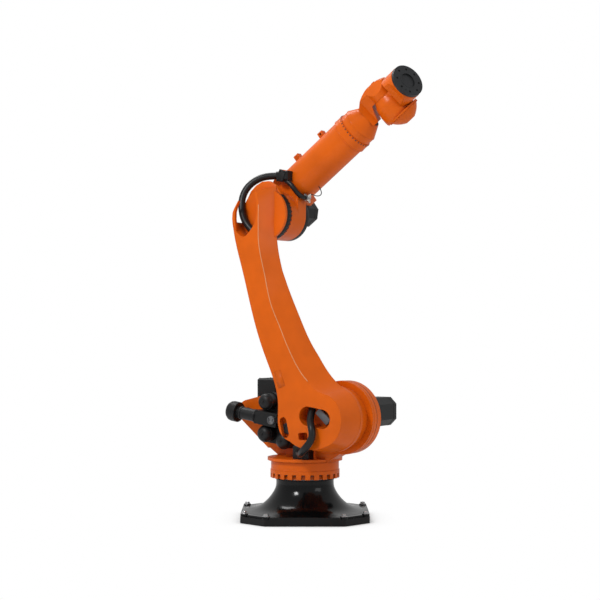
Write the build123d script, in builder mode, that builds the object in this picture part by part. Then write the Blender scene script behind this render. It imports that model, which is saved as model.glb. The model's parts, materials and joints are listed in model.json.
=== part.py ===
from build123d import *
from math import atan2, degrees, hypot, radians, tan
import os

os.makedirs("parts", exist_ok=True)

# Industrial robot arm with six turning axes, in the pose of the photograph.
# X runs right, Y away from the viewer, Z up, all in millimetres.
# Each link is drawn in its own straight frame and then set in its pose.

# Axes of the arm
shoulder_reach = 330
shoulder_height = 660
link_length = 1360
elbow_rise = 115
forearm_length = 1015
flange_reach = 222

# Pose in degrees
column_angle = -33
lean_angle = -20
forearm_angle = -16.5
roll_angle = -64
bend_angle = 24

# Shared clearances
seat_gap = 0.3
overrun = 20

column_pose = Location((0, 0, 0), (0, 0, column_angle))
link_pose = column_pose * Location((shoulder_reach, 0, shoulder_height), (0, lean_angle, 0))
forearm_pose = link_pose * Location((0, 0, link_length), (0, forearm_angle, 0))
wrist_pose = forearm_pose * Location((0, 0, elbow_rise), (roll_angle, 0, 0))
head_pose = wrist_pose * Location((forearm_length, 0, 0), (0, bend_angle, 0))


# Bend radius at each corner of a hose's route, as large as its two runs allow
bend_share = 0.45


def corner_radii(name, route):
    points = [Vector(*place) for place in route]
    radii = []
    for before, corner, after in zip(points, points[1:], points[2:]):
        turn = radians((corner - before).get_angle(after - corner))
        run = min((corner - before).length, (after - corner).length)
        radii.append(bend_share * run / tan(turn / 2))
    print(name, "bend radii", [round(radius) for radius in radii])
    return radii


# Base casting
base_width = 810
base_chamfer = 155
base_step = 30
base_plate = 42
neck_radius = 185
neck_height = 258
anchor_edge = 25
anchor_corner = 10
anchor_hole = 13.5
flare_shares = [(0.01, 0.76), (0.12, 0.53), (0.38, 0.245), (0.6, 0.13), (1, 0.065)]
flare_end_share = 1.42
flare_lip_share = 0.055

flare_span = base_width / 2 - neck_radius
flare_rise = neck_height - base_plate
flare_end = neck_radius + flare_span * flare_end_share
flare_lip = base_plate + flare_rise * flare_lip_share
neck_edge = (neck_radius, neck_height)
flare_points = [(neck_radius + r * flare_span, base_plate + z * flare_rise) for r, z in flare_shares]
anchor_long = base_width - 2 * anchor_edge
anchor_short = base_width - 2 * base_chamfer - 2 * anchor_corner
long_half = anchor_long / 2
short_half = anchor_short / 2
long_places = [(x, y) for x in (-long_half, long_half) for y in (-short_half, short_half)]
anchor_places = long_places + [(x, y) for y, x in long_places]

with BuildPart() as base_frame:
    with BuildSketch(Plane.XZ):
        with BuildLine():
            Polyline((flare_end, flare_lip), (flare_end, 0), (0, 0), (0, neck_height), neck_edge)
            Spline(neck_edge, *flare_points, (flare_end, flare_lip), tangents=[(0, -1), (1, 0)])
        make_face()
    revolve(axis=Axis.Z)
    with BuildSketch() as octagon:
        Rectangle(base_width, base_width)
        chamfer(octagon.vertices(), base_chamfer + base_step)
    extrude(amount=neck_height, mode=Mode.INTERSECT)
    with BuildSketch() as plate:
        Rectangle(base_width, base_width)
        chamfer(plate.vertices(), base_chamfer)
    extrude(amount=base_plate)
    with BuildSketch():
        with Locations(*anchor_places):
            Circle(anchor_hole)
    extrude(amount=neck_height, mode=Mode.SUBTRACT)
base_frame.part.label = "base_frame"
export_step(base_frame.part, "parts/base_frame.step")

# Bearing between the base and the turntable
bearing_radius = 165
bearing_height = 6

with BuildPart() as turntable_bearing:
    with BuildSketch(Plane.XY.offset(neck_height)):
        Circle(bearing_radius)
    extrude(amount=bearing_height)
turntable_bearing.part.label = "turntable_bearing"
export_step(turntable_bearing.part, "parts/turntable_bearing.step")

# Turntable ring with its bolt pockets
ring_radius = 222
ring_step = 4
ring_foot = neck_height + bearing_height + seat_gap
ring_band = 52
ring_top = 375
pocket_count = 24
pocket_wide = 26
pocket_deep = 22
pocket_high = 30

with BuildPart() as turntable_ring:
    with BuildSketch(Plane.XY.offset(ring_foot)):
        Circle(ring_radius)
    extrude(amount=ring_band)
    with BuildSketch(Plane.XY.offset(ring_foot + ring_band)):
        Circle(ring_radius - ring_step)
    extrude(amount=ring_top - ring_foot - ring_band)
    with BuildSketch(Plane.XY.offset(ring_foot)):
        with PolarLocations(ring_radius, pocket_count):
            Rectangle(2 * pocket_deep, pocket_wide)
    extrude(amount=pocket_high, mode=Mode.SUBTRACT)
turntable_ring.part.label = "turntable_ring"
export_step(turntable_ring.part.moved(column_pose), "parts/turntable_ring.step")

# Turning column with the shoulder drum
deck_radius = 240
deck_thick = 18
deck_top = ring_top + seat_gap + deck_thick
drum_radius = 230
drum_near = 95
drum_collar = 190
drum_collar_near = 165
drum_edge = 8
body_side = 5
body_far = 120
body_drum = 150
body_rear_x = -120
body_rear_z = 700
body_rear_radius = 60
foot_rear_x = 150
foot_front_x = 225
foot_radius = 190
boss_radius = 125
boss_far = 150
shelf_rear = 420
shelf_front = 100
shelf_top = 560
shelf_thick = 40
shelf_near = 40
shelf_far = 200

with BuildPart() as rotating_column:
    with BuildSketch(Plane.XY.offset(ring_top + seat_gap)):
        Circle(deck_radius)
    extrude(amount=deck_thick)
    with BuildSketch(Plane.XZ.offset(-body_far)):
        with Locations((shoulder_reach, shoulder_height)):
            Circle(body_drum)
        with Locations((body_rear_x, body_rear_z)):
            Circle(body_rear_radius)
        with Locations((0, deck_top)):
            Rectangle(2 * foot_rear_x, deck_thick, align=(Align.CENTER, Align.MAX))
        make_hull()
    extrude(amount=body_far - body_side)
    with BuildSketch(Plane.XZ.offset(-body_side)):
        with Locations((shoulder_reach, shoulder_height)):
            Circle(foot_radius)
        with Locations((foot_rear_x, deck_top)):
            Rectangle(foot_front_x - foot_rear_x, deck_thick, align=(Align.MIN, Align.MAX))
        make_hull()
    extrude(amount=drum_near + body_side)
    with BuildSketch(Plane.XZ.offset(-body_side)):
        with Locations((shoulder_reach, shoulder_height)):
            Circle(drum_radius)
    extrude(amount=drum_near + body_side)
    with BuildSketch(Plane.XZ.offset(drum_near)):
        with Locations((shoulder_reach, shoulder_height)):
            Circle(drum_collar)
    extrude(amount=drum_collar_near - drum_near)
    with BuildSketch(Plane.XZ.offset(-body_far)):
        with Locations((shoulder_reach, shoulder_height)):
            Circle(boss_radius)
    extrude(amount=body_far - boss_far)
    with BuildSketch(Plane.XZ.offset(-shelf_far)):
        with BuildLine():
            Polyline((-shelf_rear, shelf_top), (-shelf_rear, shelf_top - shelf_thick),
                     (-deck_radius, deck_top), (-shelf_front, deck_top), (-shelf_front, shelf_top), close=True)
        make_face()
    extrude(amount=shelf_far - shelf_near)
rotating_column.part.label = "rotating_column"
export_step(rotating_column.part.moved(column_pose), "parts/rotating_column.step")

# Gear ring between the drum and the hub of the link arm
hub_far = 180
gear_radius = 175

with BuildPart() as shoulder_gear_ring:
    with BuildSketch(Plane.XZ.offset(drum_collar_near + seat_gap)):
        with Locations((shoulder_reach, shoulder_height)):
            Circle(gear_radius)
    extrude(amount=hub_far - drum_collar_near - 2 * seat_gap)
shoulder_gear_ring.part.label = "shoulder_gear_ring"
export_step(shoulder_gear_ring.part.moved(column_pose), "parts/shoulder_gear_ring.step")

# Motor of the shoulder on the far side
shoulder_motor_x = 40
shoulder_motor_z = 22
shoulder_motor_width = 182
shoulder_motor_chamfer = 42
shoulder_motor_end = 385
motor_edge = 8

with BuildPart() as shoulder_motor:
    with BuildSketch(Plane.XZ.offset(-boss_far - seat_gap)) as motor_face:
        with Locations((shoulder_reach + shoulder_motor_x, shoulder_height + shoulder_motor_z)):
            Rectangle(shoulder_motor_width, shoulder_motor_width)
        chamfer(motor_face.vertices(), shoulder_motor_chamfer)
    extrude(amount=boss_far + seat_gap - shoulder_motor_end)
    chamfer(shoulder_motor.faces().sort_by(Axis.Y)[-1].edges(), motor_edge)
shoulder_motor.part.label = "shoulder_motor"
export_step(shoulder_motor.part.moved(column_pose), "parts/shoulder_motor.step")

# Motor of the turntable, upright behind the column
turn_motor_x = -330
turn_motor_y = 120
turn_motor_width = 160
turn_motor_top = 886
turn_motor_chamfer = 14

with BuildPart() as turntable_motor:
    with BuildSketch(Plane.XY.offset(shelf_top + seat_gap)) as motor_plan:
        with Locations((turn_motor_x, turn_motor_y)):
            Rectangle(turn_motor_width, turn_motor_width)
        chamfer(motor_plan.vertices(), turn_motor_chamfer)
    extrude(amount=turn_motor_top - shelf_top - seat_gap)
    chamfer(turntable_motor.faces().sort_by(Axis.Z)[-1].edges(), motor_edge)
turntable_motor.part.label = "turntable_motor"
export_step(turntable_motor.part.moved(column_pose), "parts/turntable_motor.step")

# Socket box of the cable harness, beside the foot of the column
socket_rear = 20
socket_front = 136
socket_near = 172
socket_far = 110
socket_top = 478
socket_edge = 6

with BuildPart() as column_socket:
    with BuildSketch(Plane.XY.offset(deck_top + seat_gap)):
        with Locations(((socket_rear + socket_front) / 2, -(socket_near + socket_far) / 2)):
            Rectangle(socket_front - socket_rear, socket_near - socket_far)
    extrude(amount=socket_top - deck_top - seat_gap)
    chamfer(column_socket.faces().sort_by(Axis.Z)[-1].edges(), socket_edge)
column_socket.part.label = "column_socket"
export_step(column_socket.part.moved(column_pose), "parts/column_socket.step")

# Counterbalance, on a pivot behind the column
pivot_x = -430
pivot_z = 672
lever_x = -250
lever_z = 25
balance_y = 130
trunnion_radius = 24
bracket_thick = 30
bracket_end = 76
bracket_rear = 270
bracket_front = 60
bracket_low = 440
bracket_high = 790

with BuildPart() as counterbalance_bracket:
    with BuildSketch(Plane.XZ.offset(seat_gap - body_side)):
        with Locations((pivot_x, pivot_z)):
            Circle(bracket_end)
        with Locations((-(bracket_rear + bracket_front) / 2, (bracket_low + bracket_high) / 2)):
            Rectangle(bracket_rear - bracket_front, bracket_high - bracket_low)
        make_hull()
        with Locations((pivot_x, pivot_z)):
            Circle(trunnion_radius + seat_gap, mode=Mode.SUBTRACT)
    extrude(amount=bracket_thick)
counterbalance_bracket.part.label = "counterbalance_bracket"
export_step(counterbalance_bracket.part.moved(column_pose), "parts/counterbalance_bracket.step")

shoulder_place = Location((shoulder_reach, 0, shoulder_height), (0, lean_angle, 0))
lever_point = shoulder_place * Location((lever_x, 0, lever_z))
lever_run = lever_point.position.X - pivot_x
lever_drop = pivot_z - lever_point.position.Z
balance_tilt = degrees(atan2(lever_drop, lever_run))
balance_length = hypot(lever_run, lever_drop)
balance_pose = column_pose * Location((pivot_x, -balance_y, pivot_z), (0, balance_tilt, 0))

cylinder_radius = 32
cylinder_front = 330
cap_radius = 65
cap_rear = 104
cap_dome = 26
rod_radius = 22
eye_radius = 34
eye_half = 30

with BuildPart() as counterbalance_cylinder:
    with BuildSketch(Plane.YZ):
        Circle(cylinder_radius)
    extrude(amount=cylinder_front)
    with BuildSketch(Plane.YZ.offset(-cap_rear)):
        Circle(cap_radius)
    extrude(amount=cap_rear)
    fillet(counterbalance_cylinder.faces().sort_by(Axis.X)[0].edges(), cap_dome)
    with BuildSketch(Plane.XZ):
        Circle(trunnion_radius)
    extrude(amount=-(balance_y + body_side))
counterbalance_cylinder.part.label = "counterbalance_cylinder"
export_step(counterbalance_cylinder.part.moved(balance_pose), "parts/counterbalance_cylinder.step")

with BuildPart() as counterbalance_rod:
    with BuildSketch(Plane.YZ.offset(cylinder_front)):
        Circle(rod_radius)
    extrude(amount=balance_length - cylinder_front)
    with BuildSketch(Plane.XZ.offset(-eye_half)):
        with Locations((balance_length, 0)):
            Circle(eye_radius)
    extrude(amount=2 * eye_half)
counterbalance_rod.part.label = "counterbalance_rod"
export_step(counterbalance_rod.part.moved(balance_pose), "parts/counterbalance_rod.step")

# Gas accumulators of the counterbalance
accumulator_radius = 52
accumulator_dome = 40
accumulator_near = 42
accumulator_far = 95
upper_x = 206
upper_z = 105
middle_x = 226
middle_z = -101
lower_x = 375
lower_z = -120

with BuildPart() as accumulator_upper:
    with BuildSketch(Plane.XZ.offset(accumulator_near)):
        with Locations((upper_x, upper_z)):
            Circle(accumulator_radius)
    extrude(amount=-(accumulator_near + accumulator_far))
    fillet(accumulator_upper.faces().sort_by(Axis.Y)[0].edges(), accumulator_dome)
accumulator_upper.part.label = "accumulator_upper"
export_step(accumulator_upper.part.moved(balance_pose), "parts/accumulator_upper.step")

with BuildPart() as accumulator_middle:
    with BuildSketch(Plane.XZ.offset(accumulator_near)):
        with Locations((middle_x, middle_z)):
            Circle(accumulator_radius)
    extrude(amount=-(accumulator_near + accumulator_far))
    fillet(accumulator_middle.faces().sort_by(Axis.Y)[0].edges(), accumulator_dome)
accumulator_middle.part.label = "accumulator_middle"
export_step(accumulator_middle.part.moved(balance_pose), "parts/accumulator_middle.step")

with BuildPart() as accumulator_lower:
    with BuildSketch(Plane.XZ.offset(accumulator_near)):
        with Locations((lower_x, lower_z)):
            Circle(accumulator_radius)
    extrude(amount=-(accumulator_near + accumulator_far))
    fillet(accumulator_lower.faces().sort_by(Axis.Y)[0].edges(), accumulator_dome)
accumulator_lower.part.label = "accumulator_lower"
export_step(accumulator_lower.part.moved(balance_pose), "parts/accumulator_lower.step")

# Valve block that joins the accumulators to the cylinder
block_near = 50
block_far = 78
block_margin = 8
block_toe = 40
saddle_rear = 150
saddle_front = 320
saddle_half = 44
saddle_near = 34

with BuildPart() as valve_block:
    with BuildSketch(Plane.XZ.offset(-block_far)):
        with Locations((upper_x, upper_z), (middle_x, middle_z)):
            Circle(accumulator_radius + block_margin)
        with Locations((lower_x, lower_z)):
            Circle(block_toe)
        make_hull()
        with Locations((upper_x, upper_z), (middle_x, middle_z), (lower_x, lower_z)):
            Circle(accumulator_radius + seat_gap, mode=Mode.SUBTRACT)
    extrude(amount=block_far - block_near)
    with BuildSketch(Plane.XZ.offset(-block_near)):
        with Locations(((saddle_rear + saddle_front) / 2, 0)):
            Rectangle(saddle_front - saddle_rear, 2 * saddle_half)
    extrude(amount=block_near + saddle_near)
    with BuildSketch(Plane.YZ.offset(saddle_rear - overrun)):
        Circle(cylinder_radius + seat_gap)
    extrude(amount=saddle_front - saddle_rear + 2 * overrun, mode=Mode.SUBTRACT)
valve_block.part.label = "valve_block"
export_step(valve_block.part.moved(balance_pose), "parts/valve_block.step")

# Pressure gauge on the front of the valve block
gauge_x = 286
gauge_radius = 26
gauge_thick = 8

with BuildPart() as pressure_gauge:
    with BuildSketch(Plane.XZ.offset(saddle_near + seat_gap)):
        with Locations((gauge_x, 0)):
            Circle(gauge_radius)
    extrude(amount=gauge_thick)
pressure_gauge.part.label = "pressure_gauge"
export_step(pressure_gauge.part.moved(balance_pose), "parts/pressure_gauge.step")

# Link arm between the shoulder and the elbow
hub_radius = 208
arm_near = 370
arm_far = 205
elbow_face = 250
elbow_disc_radius = 165
disc_proud = 8
rear_shares = [(-1.13, -0.046), (-1.385, 0.022), (-1.168, 0.13), (-1.067, 0.2206), (-1.12, 0.382),
               (-1.106, 0.588), (-1.01, 0.779), (-0.947, 0.926), (-0.769, 1.051)]
near_front_shares = [(0.279, 1.092), (0.192, 1.019), (-0.168, 0.868), (-0.303, 0.708), (-0.385, 0.581),
                     (-0.317, 0.461), (-0.24, 0.346), (-0.082, 0.232), (0.12, 0.158), (0.577, 0.088)]
near_foot_shares = [(0.577, 0.088), (0.817, 0), (0.481, -0.103), (-0.337, -0.121), (-1.13, -0.046)]
far_front_shares = [(0.81, 1.105), (0.487, 0.97), (0.255, 0.87), (0.14, 0.782), (0.1, 0.682),
                    (0.085, 0.582), (0.082, 0.479), (0.11, 0.376), (0.24, 0.269), (0.471, 0.165),
                    (0.707, 0.108)]
far_foot_shares = [(0.707, 0.108), (1, 0), (0.625, -0.119), (-0.288, -0.146), (-1.13, -0.046)]
pocket_shares = [(-0.712, 1.176), (-0.827, 1.029), (-0.808, 0.956), (-0.615, 0.922), (-0.385, 0.932),
                 (-0.115, 0.958), (0.082, 1.003), (0.173, 1.059), (0.212, 1.176)]
pocket_floor = 10
taper_low_share = 0.29
taper_high_share = 0.72
window_x = -16
window_z = 20
window_long = 222
window_high = 118
window_angle = -29
window_floor = 260
eye_x = -247
eye_z = 31
eye_long = 130
eye_wide = 50
eye_angle = 83
eye_deep = 40
notch_x = -134
notch_z = -62
notch_long = 66
notch_high = 46
notch_corner = 12
notch_angle = -16
notch_deep = 60
pin_radius = 20
pin_proud = 6

rear_line = [(x * hub_radius, z * link_length) for x, z in rear_shares]
near_front = [(x * hub_radius, z * link_length) for x, z in near_front_shares]
near_foot = [(x * hub_radius, z * link_length) for x, z in near_foot_shares]
far_front = [(x * hub_radius, z * link_length) for x, z in far_front_shares]
far_foot = [(x * hub_radius, z * link_length) for x, z in far_foot_shares]
pocket_line = [(x * hub_radius, z * link_length) for x, z in pocket_shares]
arm_side = 2 * hub_radius
arm_top = link_length + arm_side

with BuildPart() as link_arm:
    with BuildSketch(Plane.XZ.offset(arm_far)):
        with BuildLine():
            Spline(*rear_line)
            Line(rear_line[-1], far_front[0])
            Spline(*far_front)
            Spline(*far_foot)
        make_face()
    with BuildSketch(Plane.XZ.offset(arm_near)):
        with BuildLine():
            Spline(*rear_line)
            Line(rear_line[-1], near_front[0])
            Spline(*near_front)
            Spline(*near_foot)
        make_face()
    loft(ruled=True)
    with BuildSketch(Plane.YZ.offset(-arm_side)):
        with BuildLine():
            Polyline((-arm_far, taper_low_share * link_length), (-elbow_face, taper_high_share * link_length),
                     (-elbow_face, arm_top), (overrun - arm_far, arm_top),
                     (overrun - arm_far, taper_low_share * link_length), close=True)
        make_face()
    extrude(amount=2 * arm_side, mode=Mode.SUBTRACT)
    with BuildSketch(Plane.XZ.offset(arm_near + overrun)):
        with BuildLine():
            Spline(*pocket_line)
            Line(pocket_line[-1], pocket_line[0])
        make_face()
    extrude(amount=elbow_face + pocket_floor - arm_near - overrun, mode=Mode.SUBTRACT)
    with BuildSketch(Plane.XZ.offset(hub_far)):
        Circle(hub_radius)
    extrude(amount=arm_far - hub_far)
    with BuildSketch(Plane.XZ.offset(arm_far)):
        with Locations((0, link_length)):
            Circle(elbow_disc_radius)
    extrude(amount=elbow_face + pocket_floor + disc_proud - arm_far)
    with BuildSketch(Plane.XZ.offset(arm_near + overrun)):
        with Locations((window_x, window_z)):
            SlotOverall(window_long, window_high, rotation=window_angle)
    extrude(amount=window_floor - arm_near - overrun, mode=Mode.SUBTRACT)
    with BuildSketch(Plane.XZ.offset(arm_near + overrun)):
        with Locations((eye_x, eye_z)):
            SlotOverall(eye_long, eye_wide, rotation=eye_angle)
    extrude(amount=-eye_deep - overrun, mode=Mode.SUBTRACT)
    with BuildSketch(Plane.XZ.offset(arm_near + overrun)):
        with Locations((notch_x, notch_z)):
            RectangleRounded(notch_long, notch_high, notch_corner, rotation=notch_angle)
    extrude(amount=-notch_deep - overrun, mode=Mode.SUBTRACT)
    with BuildSketch(Plane.XZ.offset(arm_near + overrun)):
        with Locations((lever_x, lever_z)):
            Circle(pin_radius + seat_gap)
    extrude(amount=hub_far - arm_near - 2 * overrun, mode=Mode.SUBTRACT)
link_arm.part.label = "link_arm"
export_step(link_arm.part.moved(link_pose), "parts/link_arm.step")

with BuildPart() as lever_pin:
    with BuildSketch(Plane.XZ.offset(arm_far)):
        with Locations((lever_x, lever_z)):
            Circle(pin_radius)
    extrude(amount=arm_near - eye_deep + pin_proud - arm_far)
lever_pin.part.label = "lever_pin"
export_step(lever_pin.part.moved(link_pose), "parts/lever_pin.step")

# Bar in the hub window that carries the harness
bar_x = 26
bar_z = 8
bar_long = 96
bar_wide = 46
bar_corner = 8
bar_angle = -62
bar_near = 334

with BuildPart() as hose_bar:
    with BuildSketch(Plane.XZ.offset(window_floor + seat_gap)):
        with Locations((bar_x, bar_z)):
            RectangleRounded(bar_long, bar_wide, bar_corner, rotation=bar_angle)
    extrude(amount=bar_near - window_floor - seat_gap)
hose_bar.part.label = "hose_bar"
export_step(hose_bar.part.moved(link_pose), "parts/hose_bar.step")

# Harness hose from the column into the hub window, in the frame of the column
lower_hose_radius = 19
lower_gland_radius = 25
lower_gland_long = 60
lower_route = [(260, -319, 719), (267, -358, 664), (308, -404, 617), (322, -412, 566), (303, -416, 522),
               (264, -416, 482), (214, -376, 451), (160, -300, 440), (100, -228, 446), (100, -172.3, 446)]

with BuildPart() as lower_hose:
    with BuildLine():
        FilletPolyline(*lower_route, radius=corner_radii("lower_hose", lower_route))
    with BuildSketch(Plane(lower_route[0], z_dir=Vector(*lower_route[1]) - Vector(*lower_route[0]))):
        Circle(lower_hose_radius)
    sweep()
lower_hose.part.label = "lower_hose"
export_step(lower_hose.part.moved(column_pose), "parts/lower_hose.step")

# Gland of that hose, in the wall of the window
column_to_link = column_pose.inverse() * link_pose

with BuildPart() as lower_hose_gland:
    with BuildSketch(Plane(lower_route[0], z_dir=Vector(*lower_route[0]) - Vector(*lower_route[1]))):
        Circle(lower_gland_radius)
    extrude(amount=lower_gland_long)
    add(link_arm.part.moved(column_to_link), mode=Mode.SUBTRACT)
lower_hose_gland.part.label = "lower_hose_gland"
export_step(lower_hose_gland.part.moved(column_pose), "parts/lower_hose_gland.step")

# Elbow and forearm
elbow_radius = 155
elbow_near = 185
elbow_rim = 20
elbow_gear_radius = 150
tube_radius = 118
tube_rear = 190
tube_setback = 291
tube_front = forearm_length - tube_setback
collar_radius = 124
collar_length = 60
neck_half = 110
bridge_rear = 10
bridge_low = 118
bridge_front_rear = 132
bridge_round = 50
bridge_high = elbow_rise + tube_radius

with BuildPart() as elbow_gear_ring:
    with BuildSketch(Plane.XZ.offset(elbow_near + seat_gap)):
        Circle(elbow_gear_radius)
    extrude(amount=arm_far - elbow_near - 2 * seat_gap)
elbow_gear_ring.part.label = "elbow_gear_ring"
export_step(elbow_gear_ring.part.moved(forearm_pose), "parts/elbow_gear_ring.step")

with BuildPart() as elbow_housing:
    with BuildSketch(Plane.XZ.offset(elbow_rim)):
        Circle(elbow_radius)
    extrude(amount=elbow_near - elbow_rim)
    with BuildSketch(Plane.XZ.offset(elbow_rim)):
        Circle(elbow_radius)
        with Locations((tube_rear, elbow_rise)):
            Rectangle(seat_gap, 2 * tube_radius, align=(Align.MAX, Align.CENTER))
        make_hull()
    extrude(amount=neck_half - elbow_rim)
    with BuildSketch(Plane.XZ.offset(-neck_half)) as bridge:
        with Locations((bridge_front_rear, elbow_rise - tube_radius)):
            Rectangle(tube_rear - bridge_front_rear, 2 * tube_radius, align=(Align.MIN, Align.MIN))
        with Locations((bridge_rear, bridge_high)):
            Rectangle(tube_rear - bridge_rear, bridge_high - bridge_low, align=(Align.MIN, Align.MAX))
        fillet(bridge.vertices().group_by(Axis.X)[0].sort_by(Axis.Z)[-1], bridge_round)
    extrude(amount=neck_half + elbow_rim)
elbow_housing.part.label = "elbow_housing"
export_step(elbow_housing.part.moved(forearm_pose), "parts/elbow_housing.step")

with BuildPart() as forearm_tube:
    with BuildSketch(Plane.YZ.offset(tube_rear + seat_gap)):
        with Locations((0, elbow_rise)):
            Circle(tube_radius)
    extrude(amount=tube_front - tube_rear - seat_gap)
    with BuildSketch(Plane.YZ.offset(tube_front)):
        with Locations((0, elbow_rise)):
            Circle(collar_radius)
    extrude(amount=-collar_length)
forearm_tube.part.label = "forearm_tube"
export_step(forearm_tube.part.moved(forearm_pose), "parts/forearm_tube.step")

# Motor of the elbow on the far side
elbow_rim_radius = 148
elbow_motor_x = 38
elbow_motor_z = 24
elbow_motor_width = 172
elbow_motor_chamfer = 45
elbow_motor_end = 210

with BuildPart() as elbow_motor_rim:
    with BuildSketch(Plane.XZ):
        Circle(elbow_rim_radius)
    extrude(amount=elbow_rim - seat_gap)
    with BuildSketch(Plane.XZ.offset(-overrun)):
        with Locations((bridge_front_rear - seat_gap, -elbow_rise)):
            Rectangle(tube_rear, 2 * tube_radius + elbow_rise, align=(Align.MIN, Align.MIN))
        with Locations((bridge_rear - seat_gap, bridge_low - seat_gap)):
            Rectangle(tube_rear, tube_radius, align=(Align.MIN, Align.MIN))
    extrude(amount=elbow_rim + 2 * overrun, mode=Mode.SUBTRACT)
elbow_motor_rim.part.label = "elbow_motor_rim"
export_step(elbow_motor_rim.part.moved(forearm_pose), "parts/elbow_motor_rim.step")

with BuildPart() as elbow_motor:
    with BuildSketch(Plane.XZ.offset(-seat_gap)) as elbow_motor_face:
        with Locations((elbow_motor_x, elbow_motor_z)):
            Rectangle(elbow_motor_width, elbow_motor_width)
        chamfer(elbow_motor_face.vertices(), elbow_motor_chamfer)
    extrude(amount=seat_gap - elbow_motor_end)
    chamfer(elbow_motor.faces().sort_by(Axis.Y)[-1].edges(), motor_edge)
elbow_motor.part.label = "elbow_motor"
export_step(elbow_motor.part.moved(forearm_pose), "parts/elbow_motor.step")

# Clamp block of the hose, on the side of the forearm
clamp_x = 205
clamp_z = 158
clamp_long = 88
clamp_high = 60
clamp_angle = -35
clamp_near = 178

with BuildPart() as hose_clamp:
    with BuildSketch(Plane.XZ.offset(neck_half + seat_gap)):
        with Locations((clamp_x, clamp_z)):
            Rectangle(clamp_long, clamp_high, rotation=clamp_angle)
    extrude(amount=clamp_near - neck_half - seat_gap)
    chamfer(hose_clamp.faces().sort_by(Axis.Y)[0].edges(), motor_edge)
    with BuildSketch(Plane.YZ):
        with Locations((0, elbow_rise)):
            Circle(tube_radius + seat_gap)
    extrude(amount=tube_front, mode=Mode.SUBTRACT)
hose_clamp.part.label = "hose_clamp"
export_step(hose_clamp.part.moved(forearm_pose), "parts/hose_clamp.step")

# Harness hose from the pocket of the link arm to the clamp, in the frame of the link arm
elbow_hose_radius = 19
elbow_gland_radius = 25
elbow_gland_long = 70
elbow_route = [(-102, -294, 1287), (-127, -294, 1334), (-137, -296, 1389), (-134, -294, 1441),
               (-125, -284, 1491), (-108, -268, 1537), (-76, -250, 1575), (-30, -226, 1601),
               (22, -198, 1611), (73, -170, 1602), (113, -150, 1587)]

with BuildPart() as elbow_hose:
    with BuildLine():
        FilletPolyline(*elbow_route, radius=corner_radii("elbow_hose", elbow_route))
    with BuildSketch(Plane(elbow_route[0], z_dir=Vector(*elbow_route[1]) - Vector(*elbow_route[0]))):
        Circle(elbow_hose_radius)
    sweep()
    add(hose_clamp.part.moved(link_pose.inverse() * forearm_pose), mode=Mode.SUBTRACT)
elbow_hose.part.label = "elbow_hose"
export_step(elbow_hose.part.moved(link_pose), "parts/elbow_hose.step")

with BuildPart() as elbow_hose_gland:
    with BuildSketch(Plane(elbow_route[0], z_dir=Vector(*elbow_route[0]) - Vector(*elbow_route[1]))):
        Circle(elbow_gland_radius)
    extrude(amount=elbow_gland_long)
    add(link_arm.part, mode=Mode.SUBTRACT)
elbow_hose_gland.part.label = "elbow_hose_gland"
export_step(elbow_hose_gland.part.moved(link_pose), "parts/elbow_hose_gland.step")

# Hose from the clamp to the connectors under the forearm, in the frame of the forearm
connector_hose_radius = 13
connector_route = [(200, -148, 128), (215, -150, 90), (217, -147, 50), (213, -134, 14), (212, -108, -14),
                   (212, -72.3, -14)]
connector_x = 212
connector_z = -14
connector_size = 40
connector_corner = 10
connector_near = 72
connector_far = 30
connector_start = Vector(*connector_route[1]) - Vector(*connector_route[0])

with BuildPart() as connector_hose:
    with BuildLine():
        FilletPolyline(*connector_route, radius=corner_radii("connector_hose", connector_route))
    with BuildSketch(Plane(connector_route[0], z_dir=connector_start)):
        Circle(connector_hose_radius)
    sweep()
    add(hose_clamp.part, mode=Mode.SUBTRACT)
connector_hose.part.label = "connector_hose"
export_step(connector_hose.part.moved(forearm_pose), "parts/connector_hose.step")

with BuildPart() as hose_connectors:
    with BuildSketch(Plane.XZ.offset(connector_far)):
        with Locations((connector_x, connector_z)):
            RectangleRounded(connector_size, connector_size, connector_corner)
    extrude(amount=connector_near - connector_far)
    with BuildSketch(Plane.YZ):
        with Locations((0, elbow_rise)):
            Circle(tube_radius + seat_gap)
    extrude(amount=tube_front, mode=Mode.SUBTRACT)
hose_connectors.part.label = "hose_connectors"
export_step(hose_connectors.part.moved(forearm_pose), "parts/hose_connectors.step")

# Thin cable that loops out of the connectors to the underside of the forearm
cable_radius = 3
cable_route = [(232.3, -52, -18), (252, -52, -18), (272, -46, -52), (296, -34, -66), (312, -20, -42),
               (312, -18, -2.4)]

with BuildPart() as motor_cable:
    with BuildLine():
        FilletPolyline(*cable_route, radius=corner_radii("motor_cable", cable_route))
    with BuildSketch(Plane(cable_route[0], z_dir=Vector(*cable_route[1]) - Vector(*cable_route[0]))):
        Circle(cable_radius)
    sweep()
motor_cable.part.label = "motor_cable"
export_step(motor_cable.part.moved(forearm_pose), "parts/motor_cable.step")

# Lugs on top of the forearm
lug_rear = 295
lug_front = 520
lug_long = 40
lug_wide = 40
lug_high = 40
lug_sink = 8

with BuildPart() as forearm_lugs:
    with BuildSketch(Plane.XY.offset(elbow_rise + tube_radius - lug_sink)):
        with Locations((lug_rear, 0), (lug_front, 0)):
            Rectangle(lug_long, lug_wide)
    extrude(amount=lug_high + lug_sink)
    with BuildSketch(Plane.YZ.offset(tube_rear)):
        with Locations((0, elbow_rise)):
            Circle(tube_radius + seat_gap)
    extrude(amount=tube_front - tube_rear, mode=Mode.SUBTRACT)
forearm_lugs.part.label = "forearm_lugs"
export_step(forearm_lugs.part.moved(forearm_pose), "parts/forearm_lugs.step")

# Wrist ring that turns on the front of the forearm
wrist_ring_radius = 118
wrist_ring_length = 50
wrist_ring_setback = 162
wrist_ring_front = forearm_length - wrist_ring_setback
wrist_nose_radius = 76

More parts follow.
